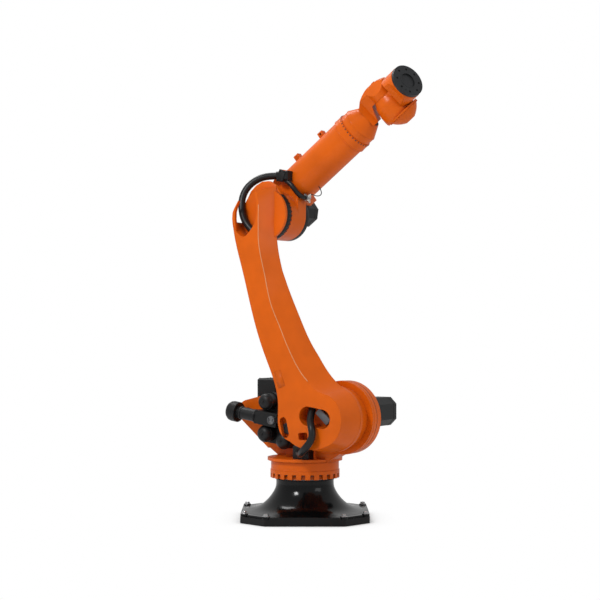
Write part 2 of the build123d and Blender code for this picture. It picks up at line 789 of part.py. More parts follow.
with BuildPart() as wrist_ring:
    with BuildSketch(Plane.XY):
        with BuildLine():
            Polyline((tube_front + seat_gap, 0), (tube_front + seat_gap, wrist_ring_radius),
                     (tube_front + wrist_ring_length, wrist_ring_radius),
                     (wrist_ring_front, wrist_nose_radius), (wrist_ring_front, 0), close=True)
        make_face()
    revolve(axis=Axis.X)
wrist_ring.part.label = "wrist_ring"
export_step(wrist_ring.part.moved(wrist_pose), "parts/wrist_ring.step")

# Wrist fork with its one thick cheek, as plan, side and end outlines that meet
cheek_inner = 35
cheek_outer = 140
cheek_flat = 50
cheek_ridge = 12
cheek_radius = 78
fork_half = 40
fork_root = 32
fork_web = 58
fork_root_flare = 20
fork_relief = 14
cheek_side = cheek_radius + overrun
cheek_edge = wrist_nose_radius + cheek_inner
fork_rear = wrist_ring_front + fork_root
fork_end = forearm_length + cheek_radius
fork_waist = forearm_length - cheek_radius

with BuildPart() as wrist_fork:
    with BuildSketch(Plane.XY.offset(-wrist_nose_radius - overrun)):
        with BuildLine():
            Polyline((wrist_ring_front + seat_gap, fork_web), (fork_rear, fork_web),
                     (fork_rear + fork_root_flare, 0), (fork_waist - fork_relief, -cheek_inner),
                     (fork_end, -cheek_inner), (fork_end, -cheek_edge))
            ThreePointArc((fork_end, -cheek_edge), (forearm_length, -cheek_outer), (fork_rear, -cheek_edge))
            Polyline((fork_rear, -cheek_edge), (wrist_ring_front + seat_gap, -wrist_nose_radius),
                     (wrist_ring_front + seat_gap, fork_web))
        make_face()
    extrude(amount=2 * (wrist_nose_radius + overrun))
    with BuildSketch(Plane.XZ.offset(-cheek_outer)):
        with BuildLine():
            Polyline((wrist_ring_front, wrist_nose_radius), (fork_rear, fork_half),
                     (forearm_length, fork_half), (forearm_length, -fork_half), (fork_rear, -fork_half),
                     (wrist_ring_front, -wrist_nose_radius), close=True)
        make_face()
        with Locations((forearm_length, 0)):
            Circle(cheek_radius)
    extrude(amount=2 * cheek_outer, mode=Mode.INTERSECT)
    with BuildSketch(Plane.YZ.offset(wrist_ring_front)):
        with BuildLine():
            Polyline((wrist_nose_radius, -cheek_side), (-cheek_flat, -cheek_side),
                     (-cheek_outer, -cheek_ridge), (-cheek_outer, cheek_ridge), (-cheek_flat, cheek_side),
                     (wrist_nose_radius, cheek_side), close=True)
        make_face()
    extrude(amount=fork_end - wrist_ring_front, mode=Mode.INTERSECT)
wrist_fork.part.label = "wrist_fork"
export_step(wrist_fork.part.moved(wrist_pose), "parts/wrist_fork.step")

# Wrist head beside the cheek, drawn with the bend axis at its origin
head_radius = 78
head_far = 112
head_bulge = 25
head_rim_radius = 110
head_rim = 12
flange_thick = 22
pot_radius = 108
pot_rear = 88
pot_far_rear = 95
pot_waist = 46
pot_shoulder = 80
pot_shoulder_x = 114
pot_collar = 84
pot_collar_x = 158
pot_neck = 60
pot_lip = 104
flange_radius = 106
bore_radius = 50
bore_depth = 8
tool_hole_radius = 5
tool_holes_across = 160
tool_hole_count = 8
tool_hole_depth = 20
pot_front = flange_reach - flange_thick - seat_gap

with BuildPart() as wrist_head:
    with BuildSketch(Plane.XY.offset(-pot_radius)):
        with BuildLine():
            Polyline((0, seat_gap - cheek_inner), (pot_rear, seat_gap - cheek_inner), (pot_rear, -pot_radius),
                     (pot_front, -pot_radius), (pot_front, pot_radius), (pot_far_rear, pot_radius),
                     (head_bulge, cheek_inner), (0, cheek_inner), close=True)
        make_face()
    extrude(amount=2 * pot_radius)
    with BuildSketch(Plane.XZ.offset(-pot_radius)):
        with BuildLine():
            Polyline((0, pot_neck), (pot_rear, pot_waist), (pot_shoulder_x, pot_shoulder),
                     (pot_collar_x, pot_collar), (pot_front, pot_lip), (pot_front, -pot_lip),
                     (pot_collar_x, -pot_collar), (pot_shoulder_x, -pot_shoulder), (pot_rear, -pot_waist),
                     (0, -pot_neck), close=True)
        make_face()
    extrude(amount=2 * pot_radius, mode=Mode.INTERSECT)
    with BuildSketch(Plane.YZ):
        Circle(pot_radius)
    extrude(amount=pot_front, mode=Mode.INTERSECT)
    with BuildSketch(Plane.XZ.offset(cheek_inner - seat_gap)):
        Circle(head_radius)
    extrude(amount=seat_gap - cheek_inner - head_far)
    with BuildSketch(Plane.XZ.offset(-head_far)):
        with Locations((head_bulge, 0)):
            Circle(head_rim_radius)
    extrude(amount=-head_rim)
wrist_head.part.label = "wrist_head"
export_step(wrist_head.part.moved(head_pose), "parts/wrist_head.step")

# Domed cap at the far end of the wrist head
cap_foot = head_far + head_rim + seat_gap
cap_edge_radius = 104
cap_middle_radius = 80
cap_middle = 154
cap_top_radius = 32
cap_end = 187

with BuildPart() as wrist_end_cap:
    with BuildSketch(Plane.XY):
        with BuildLine():
            Polyline((head_bulge, cap_end), (head_bulge, cap_foot), (head_bulge + cap_edge_radius, cap_foot))
            Spline((head_bulge + cap_edge_radius, cap_foot), (head_bulge + cap_middle_radius, cap_middle),
                   (head_bulge + cap_top_radius, cap_end))
            Line((head_bulge + cap_top_radius, cap_end), (head_bulge, cap_end))
        make_face()
    revolve(axis=Axis((head_bulge, 0, 0), (0, 1, 0)))
wrist_end_cap.part.label = "wrist_end_cap"
export_step(wrist_end_cap.part.moved(head_pose), "parts/wrist_end_cap.step")

with BuildPart() as tool_flange:
    with BuildSketch(Plane.YZ.offset(flange_reach - flange_thick)):
        Circle(flange_radius)
    extrude(amount=flange_thick)
    with BuildSketch(Plane.YZ.offset(flange_reach)):
        Circle(bore_radius)
    extrude(amount=-bore_depth, mode=Mode.SUBTRACT)
    with BuildSketch(Plane.YZ.offset(flange_reach)):
        with PolarLocations(tool_holes_across / 2, tool_hole_count):
            Circle(tool_hole_radius)
    extrude(amount=bore_depth - flange_thick, mode=Mode.SUBTRACT)
tool_flange.part.label = "tool_flange"
export_step(tool_flange.part.moved(head_pose), "parts/tool_flange.step")
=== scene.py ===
import json
import math

import bpy
from bpy.props import FloatProperty, FloatVectorProperty, IntProperty, PointerProperty
from mathutils import Matrix, Vector


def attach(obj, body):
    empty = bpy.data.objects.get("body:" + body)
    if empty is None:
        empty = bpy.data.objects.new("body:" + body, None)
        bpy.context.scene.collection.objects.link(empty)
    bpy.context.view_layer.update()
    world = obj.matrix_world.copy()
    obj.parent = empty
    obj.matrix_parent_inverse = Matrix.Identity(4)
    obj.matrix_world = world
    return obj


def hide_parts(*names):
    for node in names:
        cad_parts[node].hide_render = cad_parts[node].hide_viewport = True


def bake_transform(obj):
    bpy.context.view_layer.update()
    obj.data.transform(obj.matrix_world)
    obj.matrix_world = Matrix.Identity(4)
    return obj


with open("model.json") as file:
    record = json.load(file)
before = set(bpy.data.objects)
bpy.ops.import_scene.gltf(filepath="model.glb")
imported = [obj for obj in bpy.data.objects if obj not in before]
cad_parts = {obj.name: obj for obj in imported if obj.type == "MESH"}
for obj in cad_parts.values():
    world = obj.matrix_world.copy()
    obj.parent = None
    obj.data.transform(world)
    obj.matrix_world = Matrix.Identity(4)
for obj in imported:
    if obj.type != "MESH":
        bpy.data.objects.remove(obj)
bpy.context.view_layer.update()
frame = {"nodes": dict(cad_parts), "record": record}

bl_info = {
    "name": "Industrial Robot Arm Dressing",
    "version": (1, 0, 0),
    "blender": (4, 5, 0),
    "location": "View3D > Sidebar > Robot Arm",
    "description": "Builds paint, fasteners, hoses and covers round a packed robot arm",
    "category": "Add Mesh",
}

MM = 0.001
SHARP_EDGE = math.radians(30)


def linear(code):
    """An sRGB hex colour as the linear numbers that Blender's sockets take."""
    parts = [int(code[i:i + 2], 16) / 255 for i in (0, 2, 4)]
    return tuple(p / 12.92 if p <= 0.04045 else ((p + 0.055) / 1.055) ** 2.4 for p in parts)


# ---- Sizes and colours that a user would change ----


class FinishColours(bpy.types.PropertyGroup):
    """Colours of the arm's finishes"""

    orange: FloatVectorProperty(name="Orange Paint", description="Two-coat paint of the castings",
                                subtype="COLOR", size=3, min=0, max=1, default=linear("E2640C"))
    # Painted highlight: this pale colour stands in for the highlight along the link arm's ridge.
    edge: FloatVectorProperty(name="Painted Ridge Highlight", description="Pale colour painted as the highlight along a ridge",
                              subtype="COLOR", size=3, min=0, max=1, default=linear("EBA674"))
    enamel: FloatVectorProperty(name="Base Enamel", description="Glossy enamel of the flared base",
                                subtype="COLOR", size=3, min=0, max=1, default=linear("08090A"))
    powder: FloatVectorProperty(name="Motor Coat", description="Powder coat of motors and counterbalance",
                                subtype="COLOR", size=3, min=0, max=1, default=linear("141516"))
    steel: FloatVectorProperty(name="Steel", description="Bare steel of pins, screws and glands",
                               subtype="COLOR", size=3, min=0, max=1, default=linear("B9BABB"))
    oxide: FloatVectorProperty(name="Oxide Steel", description="Blackened steel of the tool flange",
                               subtype="COLOR", size=3, min=0, max=1, default=linear("3A3B3D"))
    rubber: FloatVectorProperty(name="Hose Rubber", description="Rubber cover of the harness hoses",
                                subtype="COLOR", size=3, min=0, max=1, default=linear("161718"))


class FastenerSizes(bpy.types.PropertyGroup):
    """Sizes of the screws and bolts"""

    anchor: FloatProperty(name="Anchor Washer", description="Radius of the anchor bolts' washers",
                          subtype="DISTANCE", unit="LENGTH", min=0.01, max=0.04, default=0.023)
    casting: FloatProperty(name="Casting Screw", description="Head radius of the screws of the big castings",
                           subtype="DISTANCE", unit="LENGTH", min=0.004, max=0.02, default=0.009)
    wrist: FloatProperty(name="Wrist Screw", description="Head radius of the screws of the wrist",
                         subtype="DISTANCE", unit="LENGTH", min=0.002, max=0.01, default=0.0055)


class HoseSizes(bpy.types.PropertyGroup):
    """Sizes of the hoses"""

    harness: FloatProperty(name="Harness Hose", description="Radius of the two harness hoses",
                           subtype="DISTANCE", unit="LENGTH", min=0.01, max=0.03, default=0.0225)
    branch: FloatProperty(name="Branch Hose", description="Radius of the hose to the connectors",
                          subtype="DISTANCE", unit="LENGTH", min=0.005, max=0.02, default=0.0155)
    cable: FloatProperty(name="Loop Cable", description="Radius of the thin loop under the forearm",
                         subtype="DISTANCE", unit="LENGTH", min=0.001, max=0.006, default=0.003)
    facets: IntProperty(name="Round Steps", description="Faces round each hose", min=8, max=48, default=24)


# ---- The arm's own lengths in millimetres, as in the part's source ----

SHOULDER_X, SHOULDER_Z = 330, 660      # shoulder axis: forward of the turning axis, above the floor
LINK_LENGTH = 1360                     # shoulder axis to elbow axis
HUB_RADIUS = 208                       # the link arm's hub
LINK_FACE = -369                       # the link arm's face on the photograph's side
TUBE_RISE = 115                        # the forearm tube's axis above the elbow axis
BEND_REACH = 1015                      # elbow axis to bend axis, along the tube
FLANGE_REACH = 222                     # bend axis to the face of the tool flange
TILT_X, TILT_Z = -430, 672             # the counterbalance's tilt axis
BALANCE_SIDE = -130                    # the counterbalance's middle plane
ACCUMULATORS = ((206, 105), (226, -101), (375, -120))  # their axes in the counterbalance's frame
ANCHOR_LONG, ANCHOR_SHORT = 380, 240   # anchor holes, from the middle of the base
PLATE_TOP = 40                         # top of the base plate


# ---- Home frames of the bodies, in the pose of the photograph ----


def turned_about(axis, degrees):
    """A turn about an axis through the origin."""
    return Matrix.Rotation(math.radians(degrees), 4, axis)


def shifted(x, y, z):
    """A move, in millimetres."""
    return Matrix.Translation((x * MM, y * MM, z * MM))


COLUMN = turned_about("Z", -33)
LINK = COLUMN @ shifted(SHOULDER_X, 0, SHOULDER_Z) @ turned_about("Y", -20)
FOREARM = LINK @ shifted(0, 0, LINK_LENGTH) @ turned_about("Y", -16.5)
WRIST = FOREARM @ shifted(0, 0, TUBE_RISE) @ turned_about("X", -64)
HEAD = WRIST @ shifted(BEND_REACH, 0, 0) @ turned_about("Y", 24)
BALANCE = COLUMN @ shifted(TILT_X, BALANCE_SIDE, TILT_Z) @ turned_about("Y", 8.154)

FACING = {
    "+X": turned_about("Y", 90), "-X": turned_about("Y", -90),
    "+Y": turned_about("X", -90), "-Y": turned_about("X", 90),
    "+Z": Matrix.Identity(4), "-Z": turned_about("X", 180),
}


def at(home, x, y, z, facing="+Z", spin=0.0):
    """Where a piece drawn about +Z goes: millimetres in a home frame, and the way that it faces."""
    return home @ shifted(x, y, z) @ FACING[facing] @ turned_about("Z", spin)


def ring_of(place, radius, count, start=0.0, sweep=360.0):
    """Places on a circle in the face of a place, radius in millimetres."""
    step = sweep / count if sweep >= 360 else sweep / (count - 1)
    return [place @ turned_about("Z", start + step * i) @ shifted(radius, 0, 0) for i in range(count)]


# ---- Modelling by hand, in small steps ----


def clear():
    """Leaves edit mode and selects nothing."""
    if bpy.context.object and bpy.context.object.mode != "OBJECT":
        bpy.ops.object.mode_set(mode="OBJECT")
    bpy.ops.object.select_all(action="DESELECT")


def pick(piece):
    """Selects one piece alone and makes it the active one."""
    clear()
    piece.select_set(True)
    bpy.context.view_layer.objects.active = piece


def apply_all(piece):
    """Puts the modifiers and the place of a piece into its mesh."""
    pick(piece)
    for modifier in list(piece.modifiers):
        bpy.ops.object.modifier_apply(modifier=modifier.name)
    bpy.ops.object.transform_apply(location=True, rotation=True, scale=True)


def soften(piece, width):
    """Breaks the sharp edges of a piece, width in millimetres."""
    bevel = piece.modifiers.new("edges", "BEVEL")
    bevel.width = width * MM
    bevel.segments = 2
    bevel.limit_method = "ANGLE"
    bevel.angle_limit = SHARP_EDGE
    bevel.use_clamp_overlap = True
    apply_all(piece)


def lathe(steps, sides=48):
    """A turned piece about +Z: a disc at the first (height, radius), drawn out through the others."""
    clear()
    height, radius = steps[0]
    bpy.ops.mesh.primitive_circle_add(vertices=sides, radius=radius * MM, fill_type="NGON",
                                      location=(0, 0, height * MM))
    piece = bpy.context.object
    apply_all(piece)
    bpy.ops.object.mode_set(mode="EDIT")
    bpy.ops.mesh.select_all(action="SELECT")
    for next_height, next_radius in steps[1:]:
        bpy.ops.mesh.extrude_region_move(
            TRANSFORM_OT_translate={"value": (0, 0, (next_height - height) * MM)})
        share = next_radius / radius
        bpy.ops.transform.resize(value=(share, share, 1), center_override=(0, 0, next_height * MM))
        height, radius = next_height, next_radius
    bpy.ops.mesh.select_all(action="SELECT")
    bpy.ops.mesh.normals_make_consistent(inside=False)
    bpy.ops.object.mode_set(mode="OBJECT")
    return piece


def block(size, edge):
    """A box on its place with broken edges, in millimetres."""
    clear()
    bpy.ops.mesh.primitive_cube_add(size=1, location=(0, 0, 0))
    piece = bpy.context.object
    piece.scale = [s * MM for s in size]
    piece.location = (0, 0, size[2] * MM / 2)
    apply_all(piece)
    soften(piece, edge)
    return piece


def plate(outline, thick, edge):
    """A flat piece on its place: an outline of (x, y) millimetres, drawn up by thick, its edges broken."""
    clear()
    bpy.ops.mesh.primitive_circle_add(vertices=len(outline), radius=1, fill_type="NGON")
    piece = bpy.context.object
    for corner, (x, y) in zip(piece.data.vertices, outline):
        corner.co = (x * MM, y * MM, 0)
    bpy.ops.object.mode_set(mode="EDIT")
    bpy.ops.mesh.select_all(action="SELECT")
    bpy.ops.mesh.extrude_region_move(TRANSFORM_OT_translate={"value": (0, 0, thick * MM)})
    bpy.ops.mesh.select_all(action="SELECT")
    bpy.ops.mesh.normals_make_consistent(inside=False)
    bpy.ops.object.mode_set(mode="OBJECT")
    soften(piece, edge)
    return piece


def collar(inner, outer, thick, sides=72, edge=1.0):
    """A flat ring about +Z, in millimetres; with no edge its corners stay sharp."""
    clear()
    bpy.ops.mesh.primitive_circle_add(vertices=sides, radius=outer * MM, fill_type="NGON")
    piece = bpy.context.object
    bpy.ops.object.mode_set(mode="EDIT")
    bpy.ops.mesh.select_all(action="SELECT")
    bpy.ops.mesh.inset(thickness=(outer - inner) * MM, use_even_offset=True)
    bpy.ops.mesh.delete(type="FACE")
    bpy.ops.mesh.select_all(action="SELECT")
    bpy.ops.mesh.extrude_region_move(TRANSFORM_OT_translate={"value": (0, 0, thick * MM)})
    bpy.ops.mesh.select_all(action="SELECT")
    bpy.ops.mesh.normals_make_consistent(inside=False)
    bpy.ops.object.mode_set(mode="OBJECT")
    if edge:
        soften(piece, edge)
    return piece


def joined(pieces):
    """Several pieces as one."""
    clear()
    for piece in pieces:
        piece.select_set(True)
    bpy.context.view_layer.objects.active = pieces[0]
    if len(pieces) > 1:
        bpy.ops.object.join()
    return bpy.context.view_layer.objects.active


def swept(data):
    """The mesh of a curve's round sweep."""
    sweep = bpy.data.objects.new(data.name, data)
    bpy.context.scene.collection.objects.link(sweep)
    pick(sweep)
    bpy.ops.object.convert(target="MESH")
    return bpy.context.view_layer.objects.active


def put(piece, place):
    """Sets a piece in its place, which goes into its mesh."""
    piece.data.transform(place)
    piece.data.update()
    return piece


def copies(master, places):
    """One piece that holds a copy of the master at each place."""
    made = []
    for place in places:
        one = master.copy()
        one.data = master.data.copy()
        bpy.context.collection.objects.link(one)
        made.append(put(one, place))
    bpy.data.objects.remove(master)
    return joined(made)


def hex_bolt(radius):
    """A hexagon bolt head on its washer, the washer's radius in millimetres."""
    washer = lathe([(0, radius), (radius * 0.14, radius), (radius * 0.17, radius * 0.95)], 32)
    head = lathe([(radius * 0.15, radius * 0.72), (radius * 0.6, radius * 0.72),
                  (radius * 0.68, radius * 0.62), (radius * 0.68, radius * 0.3),
                  (radius * 0.62, radius * 0.26)], 6)
    return joined([washer, head])


def socket_screw(radius):
    """A cylinder head screw with its socket, the head's radius in millimetres."""
    return lathe([(0, radius), (radius * 0.85, radius), (radius, radius * 0.88),
                  (radius, radius * 0.5), (radius * 0.45, radius * 0.46)], 18)


def surface(piece, material, smooth):
    """Shades a piece smooth below an angle in degrees and gives it its finish."""
    pick(piece)
    bpy.ops.object.shade_smooth_by_angle(angle=math.radians(smooth))
    piece.data.materials.clear()
    piece.data.materials.append(material)


def dress(piece, name, material, body, smooth=35.0):
    """Names a finished piece, gives it its finish and lets it ride on its body."""
    piece.name = name
    piece.data.name = name
    surface(piece, material, smooth)
    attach(piece, body)
    return piece


# ---- Finishes ----

FINISHES = {}


def add_node(tree, kind, settings=None, inputs=None, links=None):
    """Adds a shader node: its own settings, its sockets' values, and {socket: output that feeds it}."""
    node = tree.nodes.new(kind)
    for key, value in (settings or {}).items():
        setattr(node, key, value)
    for key, value in (inputs or {}).items():
        node.inputs[key].default_value = value
    for key, output in (links or {}).items():
        tree.links.new(output, node.inputs[key])
    return node


def new_finish(name):
    """A fresh node material with its shader and output."""
    material = bpy.data.materials.new(name)
    material.use_nodes = True
    tree = material.node_tree
    tree.nodes.clear()
    shader = add_node(tree, "ShaderNodeBsdfPrincipled")
    add_node(tree, "ShaderNodeOutputMaterial", links={"Surface": shader.outputs["BSDF"]})
    place = add_node(tree, "ShaderNodeTexCoord").outputs["Object"]
    FINISHES[name] = material
    return material, tree, shader, place


def shade(colour, share):
    """A colour made darker or lighter by a share, with its alpha."""
    return (*(min(1.0, c * share) for c in colour), 1.0)


def cast_paint(name, colour, rough, coat, edge):
    """Two-coat paint on a sand casting: a film that flows over a slightly uneven skin, so that its
    highlights are soft and break up, that rounds the edges, in millimetres, and whose colour is darkened in
    creases by painted shade."""
    material, tree, shader, place = new_finish(name)
    broad = add_node(tree, "ShaderNodeTexNoise", inputs={"Scale": 5.0, "Detail": 3.0, "Roughness": 0.5},
                     links={"Vector": place})
    ramp = add_node(tree, "ShaderNodeValToRGB", links={"Fac": broad.outputs["Fac"]})
    ramp.color_ramp.elements[0].position = 0.3
    ramp.color_ramp.elements[0].color = shade(colour, 0.9)
    ramp.color_ramp.elements[1].position = 0.7
    ramp.color_ramp.elements[1].color = shade(colour, 1.06)
    # Painted shade: ambient occlusion darkens the paint's colour in creases and hollows.
    painted_crease_shade = add_node(tree, "ShaderNodeAmbientOcclusion", {"samples": 6}, {"Distance": 0.05})
    crease_shade_share = add_node(tree, "ShaderNodeMapRange", inputs={"From Min": 0.25, "From Max": 0.85,
                                                          "To Min": 0.72, "To Max": 1.0},
                      links={"Value": painted_crease_shade.outputs["AO"]})
    film = add_node(tree, "ShaderNodeVectorMath", {"operation": "SCALE"},
                    links={0: ramp.outputs["Color"], "Scale": crease_shade_share.outputs["Result"]})
    tree.links.new(film.outputs["Vector"], shader.inputs["Base Color"])
    # Orange peel of sprayed paint is about 2 mm; drawn at 6 mm so that it shows.
    peel = add_node(tree, "ShaderNodeTexNoise", inputs={"Scale": 165.0, "Detail": 2.0},
                    links={"Vector": place})
    # The casting's own waviness, about 60 mm from crest to crest.
    wave = add_node(tree, "ShaderNodeTexNoise", inputs={"Scale": 16.0, "Detail": 2.0},
                    links={"Vector": place})
    wear = add_node(tree, "ShaderNodeMapRange", inputs={"From Min": 0.3, "From Max": 0.7,
                                                        "To Min": rough - 0.05, "To Max": rough + 0.07},
                    links={"Value": wave.outputs["Fac"]})
    tree.links.new(wear.outputs["Result"], shader.inputs["Roughness"])
    rounded = add_node(tree, "ShaderNodeBevel", {"samples": 6}, {"Radius": edge * MM})
    skin = add_node(tree, "ShaderNodeBump", inputs={"Strength": 0.08, "Distance": 0.003},
                    links={"Height": wave.outputs["Fac"], "Normal": rounded.outputs["Normal"]})
    bump = add_node(tree, "ShaderNodeBump", inputs={"Strength": 0.03, "Distance": 0.0004},
                    links={"Height": peel.outputs["Fac"], "Normal": skin.outputs["Normal"]})
    tree.links.new(bump.outputs["Normal"], shader.inputs["Normal"])
    shader.inputs["Specular IOR Level"].default_value = 0.12
    shader.inputs["Coat Weight"].default_value = coat
    shader.inputs["Coat Roughness"].default_value = rough * 0.65
    return material


def powder_coat(name, colour, rough, grain):
    """Powder coat on aluminium housings: matt, with a fine leathery grain that scatters the light."""
    material, tree, shader, place = new_finish(name)
    cells = add_node(tree, "ShaderNodeTexVoronoi", {"feature": "SMOOTH_F1"}, {"Scale": grain},
                     {"Vector": place})
    broad = add_node(tree, "ShaderNodeTexNoise", inputs={"Scale": 9.0, "Detail": 4.0},
                     links={"Vector": place})
    ramp = add_node(tree, "ShaderNodeValToRGB", links={"Fac": broad.outputs["Fac"]})
    ramp.color_ramp.elements[0].color = shade(colour, 0.75)
    ramp.color_ramp.elements[1].color = shade(colour, 1.25)
    tree.links.new(ramp.outputs["Color"], shader.inputs["Base Color"])
    rounded = add_node(tree, "ShaderNodeBevel", {"samples": 6}, {"Radius": 2.5 * MM})
    bump = add_node(tree, "ShaderNodeBump", inputs={"Strength": 0.16, "Distance": 0.0008},
                    links={"Height": cells.outputs["Distance"], "Normal": rounded.outputs["Normal"]})
    tree.links.new(bump.outputs["Normal"], shader.inputs["Normal"])
    shader.inputs["Roughness"].default_value = rough
    shader.inputs["Specular IOR Level"].default_value = 0.35
    return material


def machined_steel(name, colour, rough, metallic=1.0):
    """Turned, plated or blackened steel: metallic, with fine tool marks and an uneven oil film."""
    material, tree, shader, place = new_finish(name)
    marks = add_node(tree, "ShaderNodeTexNoise", inputs={"Scale": 420.0, "Detail": 2.0},
                     links={"Vector": place})
    film = add_node(tree, "ShaderNodeTexNoise", inputs={"Scale": 30.0, "Detail": 3.0},
                    links={"Vector": place})
    tone = add_node(tree, "ShaderNodeValToRGB", links={"Fac": film.outputs["Fac"]})
    tone.color_ramp.elements[0].color = shade(colour, 0.8)
    tone.color_ramp.elements[1].color = shade(colour, 1.1)
    tree.links.new(tone.outputs["Color"], shader.inputs["Base Color"])
    gloss = add_node(tree, "ShaderNodeMapRange", inputs={"To Min": rough - 0.08, "To Max": rough + 0.1},
                     links={"Value": film.outputs["Fac"]})
    tree.links.new(gloss.outputs["Result"], shader.inputs["Roughness"])
    bump = add_node(tree, "ShaderNodeBump", inputs={"Strength": 0.08, "Distance": 0.0003},
                    links={"Height": marks.outputs["Fac"]})
    tree.links.new(bump.outputs["Normal"], shader.inputs["Normal"])
    shader.inputs["Metallic"].default_value = metallic
    return material


def hose_rubber(name, colour):
    """Extruded rubber cover over a braid: a soft satin sheen and a faint fine grain."""
    material, tree, shader, place = new_finish(name)
    broad = add_node(tree, "ShaderNodeTexNoise", inputs={"Scale": 22.0, "Detail": 4.0},
                     links={"Vector": place})
    tone = add_node(tree, "ShaderNodeValToRGB", links={"Fac": broad.outputs["Fac"]})
    tone.color_ramp.elements[0].color = shade(colour, 0.7)
    tone.color_ramp.elements[1].color = shade(colour, 1.3)
    tree.links.new(tone.outputs["Color"], shader.inputs["Base Color"])
    grain = add_node(tree, "ShaderNodeTexNoise", inputs={"Scale": 330.0, "Detail": 2.0},
                     links={"Vector": place})
    bump = add_node(tree, "ShaderNodeBump", inputs={"Strength": 0.14, "Distance": 0.0005},
                    links={"Height": grain.outputs["Fac"]})
    tree.links.new(bump.outputs["Normal"], shader.inputs["Normal"])
    shader.inputs["Roughness"].default_value = 0.4
    shader.inputs["Specular IOR Level"].default_value = 0.35
    return material


def make_finishes():
    """All the arm's finishes, from the colours in the panel."""
    colours = bpy.context.scene.robot_colours
    cast_paint("orange_two_coat_paint", colours.orange, 0.34, 0.16, 5.0)
    # Painted highlight: the pale, glossy paint of the ridge bead stands in for the highlight along the link
    # arm's ridge.
    cast_paint("painted_ridge_highlight", colours.edge, 0.3, 0.5, 1.0)
    cast_paint("black_base_enamel", colours.enamel, 0.17, 0.3, 6.0)
    powder_coat("black_powder_coat", colours.powder, 0.44, 700.0)
    powder_coat("black_moulded_nylon", shade(colours.powder, 0.8)[:3], 0.55, 420.0)
    machined_steel("bright_zinc_steel", colours.steel, 0.3)
    machined_steel("burnished_oxide_steel", colours.oxide, 0.42, 0.6)
    machined_steel("grey_bracket_steel", linear("6E7073"), 0.48, 0.4)
    machined_steel("plated_connector_shell", linear("D6D4CE"), 0.2)
    hose_rubber("black_hose_rubber", colours.rubber)


# The finish of each material slot of the solids.
NODE_FINISH = {
    "orange_paint": "orange_two_coat_paint", "black_enamel": "black_base_enamel",
    "black_paint": "black_powder_coat", "bare_steel": "bright_zinc_steel",
    "dark_steel": "burnished_oxide_steel", "black_plastic": "black_moulded_nylon",
    "hose_rubber": "black_hose_rubber",
}


# ---- One operator for each group of pieces ----


class ROBOT_OT_stage(bpy.types.Operator):
    """Set the floor, the light and the photograph's camera"""
    bl_idname = "robot.stage"
    bl_label = "Stage"

    # The photograph's view: metres from the turning axis and above the floor, and pixels off centre.
    distance, height = 9.0, 1.22
    frame_width, off_x, off_y = 600, -5, 28
    # Each softbox: its name, place, aim, edge in metres and power in watts.
    softboxes = (("key_softbox", (-3.4, -4.2, 5.4), (0.1, 0, 1.4), 1.3, 190),
                 ("fill_softbox", (4.6, -3.4, 2.6), (0.1, 0, 1.3), 2.4, 34),
                 ("top_softbox", (-1.6, 1.8, 5.6), (0.1, 0, 1.6), 2.0, 80))

    def execute(self, context):
        scene = context.scene
        scene.view_settings.view_transform = "Standard"
        clear()
        self.place_camera(scene)
        self.lay_floor()
        self.light_world(scene)
        for softbox in self.softboxes:
            self.hang_lamp(scene, *softbox)
        return {"FINISHED"}

    def place_camera(self, scene):
        """The photograph's camera, level and looking along +Y."""
        camera_data = bpy.data.cameras.new("photo_camera")
        camera_data.sensor_width = 36
        camera_data.lens = 84
        camera_data.shift_x = self.off_x / self.frame_width
        camera_data.shift_y = self.off_y / self.frame_width
        camera = bpy.data.objects.new("photo_camera", camera_data)
        camera.location = (0, -self.distance, self.height)
        camera.rotation_euler = (math.radians(90), 0, 0)
        scene.collection.objects.link(camera)
        scene.camera = camera

    def lay_floor(self):
        """A pale floor that the camera sees as white, apart from a soft shade where the arm stands."""
        bpy.ops.mesh.primitive_plane_add(size=60, location=(0, 0, 0))
        floor = bpy.context.object
        floor.name = "studio_floor"
        material = bpy.data.materials.new("pale_studio_floor")
        material.use_nodes = True
        tree = material.node_tree
        tree.nodes.clear()
        paint = add_node(tree, "ShaderNodeBsdfPrincipled", inputs={"Base Color": (0.8, 0.8, 0.8, 1),
                                                                  "Roughness": 0.75})
        white = add_node(tree, "ShaderNodeEmission", inputs={"Color": (1, 1, 1, 1), "Strength": 1.0})
        ray = add_node(tree, "ShaderNodeLightPath")
        touch = add_node(tree, "ShaderNodeAmbientOcclusion", {"samples": 8}, {"Distance": 0.18})
        fade = add_node(tree, "ShaderNodeMapRange", inputs={"From Min": 0.4, "From Max": 0.95},
                        links={"Value": touch.outputs["AO"]})
        share = add_node(tree, "ShaderNodeMath", {"operation": "MULTIPLY"},
                         links={0: ray.outputs["Is Camera Ray"], 1: fade.outputs["Result"]})
        mix = add_node(tree, "ShaderNodeMixShader",
                       links={0: share.outputs[0], 1: paint.outputs["BSDF"], 2: white.outputs["Emission"]})
        add_node(tree, "ShaderNodeOutputMaterial", links={"Surface": mix.outputs["Shader"]})
        floor.data.materials.append(material)

    def light_world(self, scene):
        """Even white light all round, behind a white backdrop."""
        world = bpy.data.worlds.new("studio_light")
        world.use_nodes = True
        scene.world = world
        tree = world.node_tree
        tree.nodes.clear()
        ray = add_node(tree, "ShaderNodeLightPath")
        soft = add_node(tree, "ShaderNodeBackground", inputs={"Color": (1, 1, 1, 1), "Strength": 0.48})
        back = add_node(tree, "ShaderNodeBackground", inputs={"Color": (1, 1, 1, 1), "Strength": 1.0})
        mix = add_node(tree, "ShaderNodeMixShader", links={0: ray.outputs["Is Camera Ray"],
                                                           1: soft.outputs["Background"],
                                                           2: back.outputs["Background"]})
        add_node(tree, "ShaderNodeOutputWorld", links={"Surface": mix.outputs["Shader"]})

    def hang_lamp(self, scene, name, place, aim, size, power):
        """A square softbox that looks at a point."""
        light = bpy.data.lights.new(name, "AREA")
        light.size = size
        light.energy = power
        lamp = bpy.data.objects.new(name, light)
        lamp.location = place
        lamp.rotation_euler = (Vector(aim) - Vector(place)).to_track_quat("-Z", "Y").to_euler()
        scene.collection.objects.link(lamp)


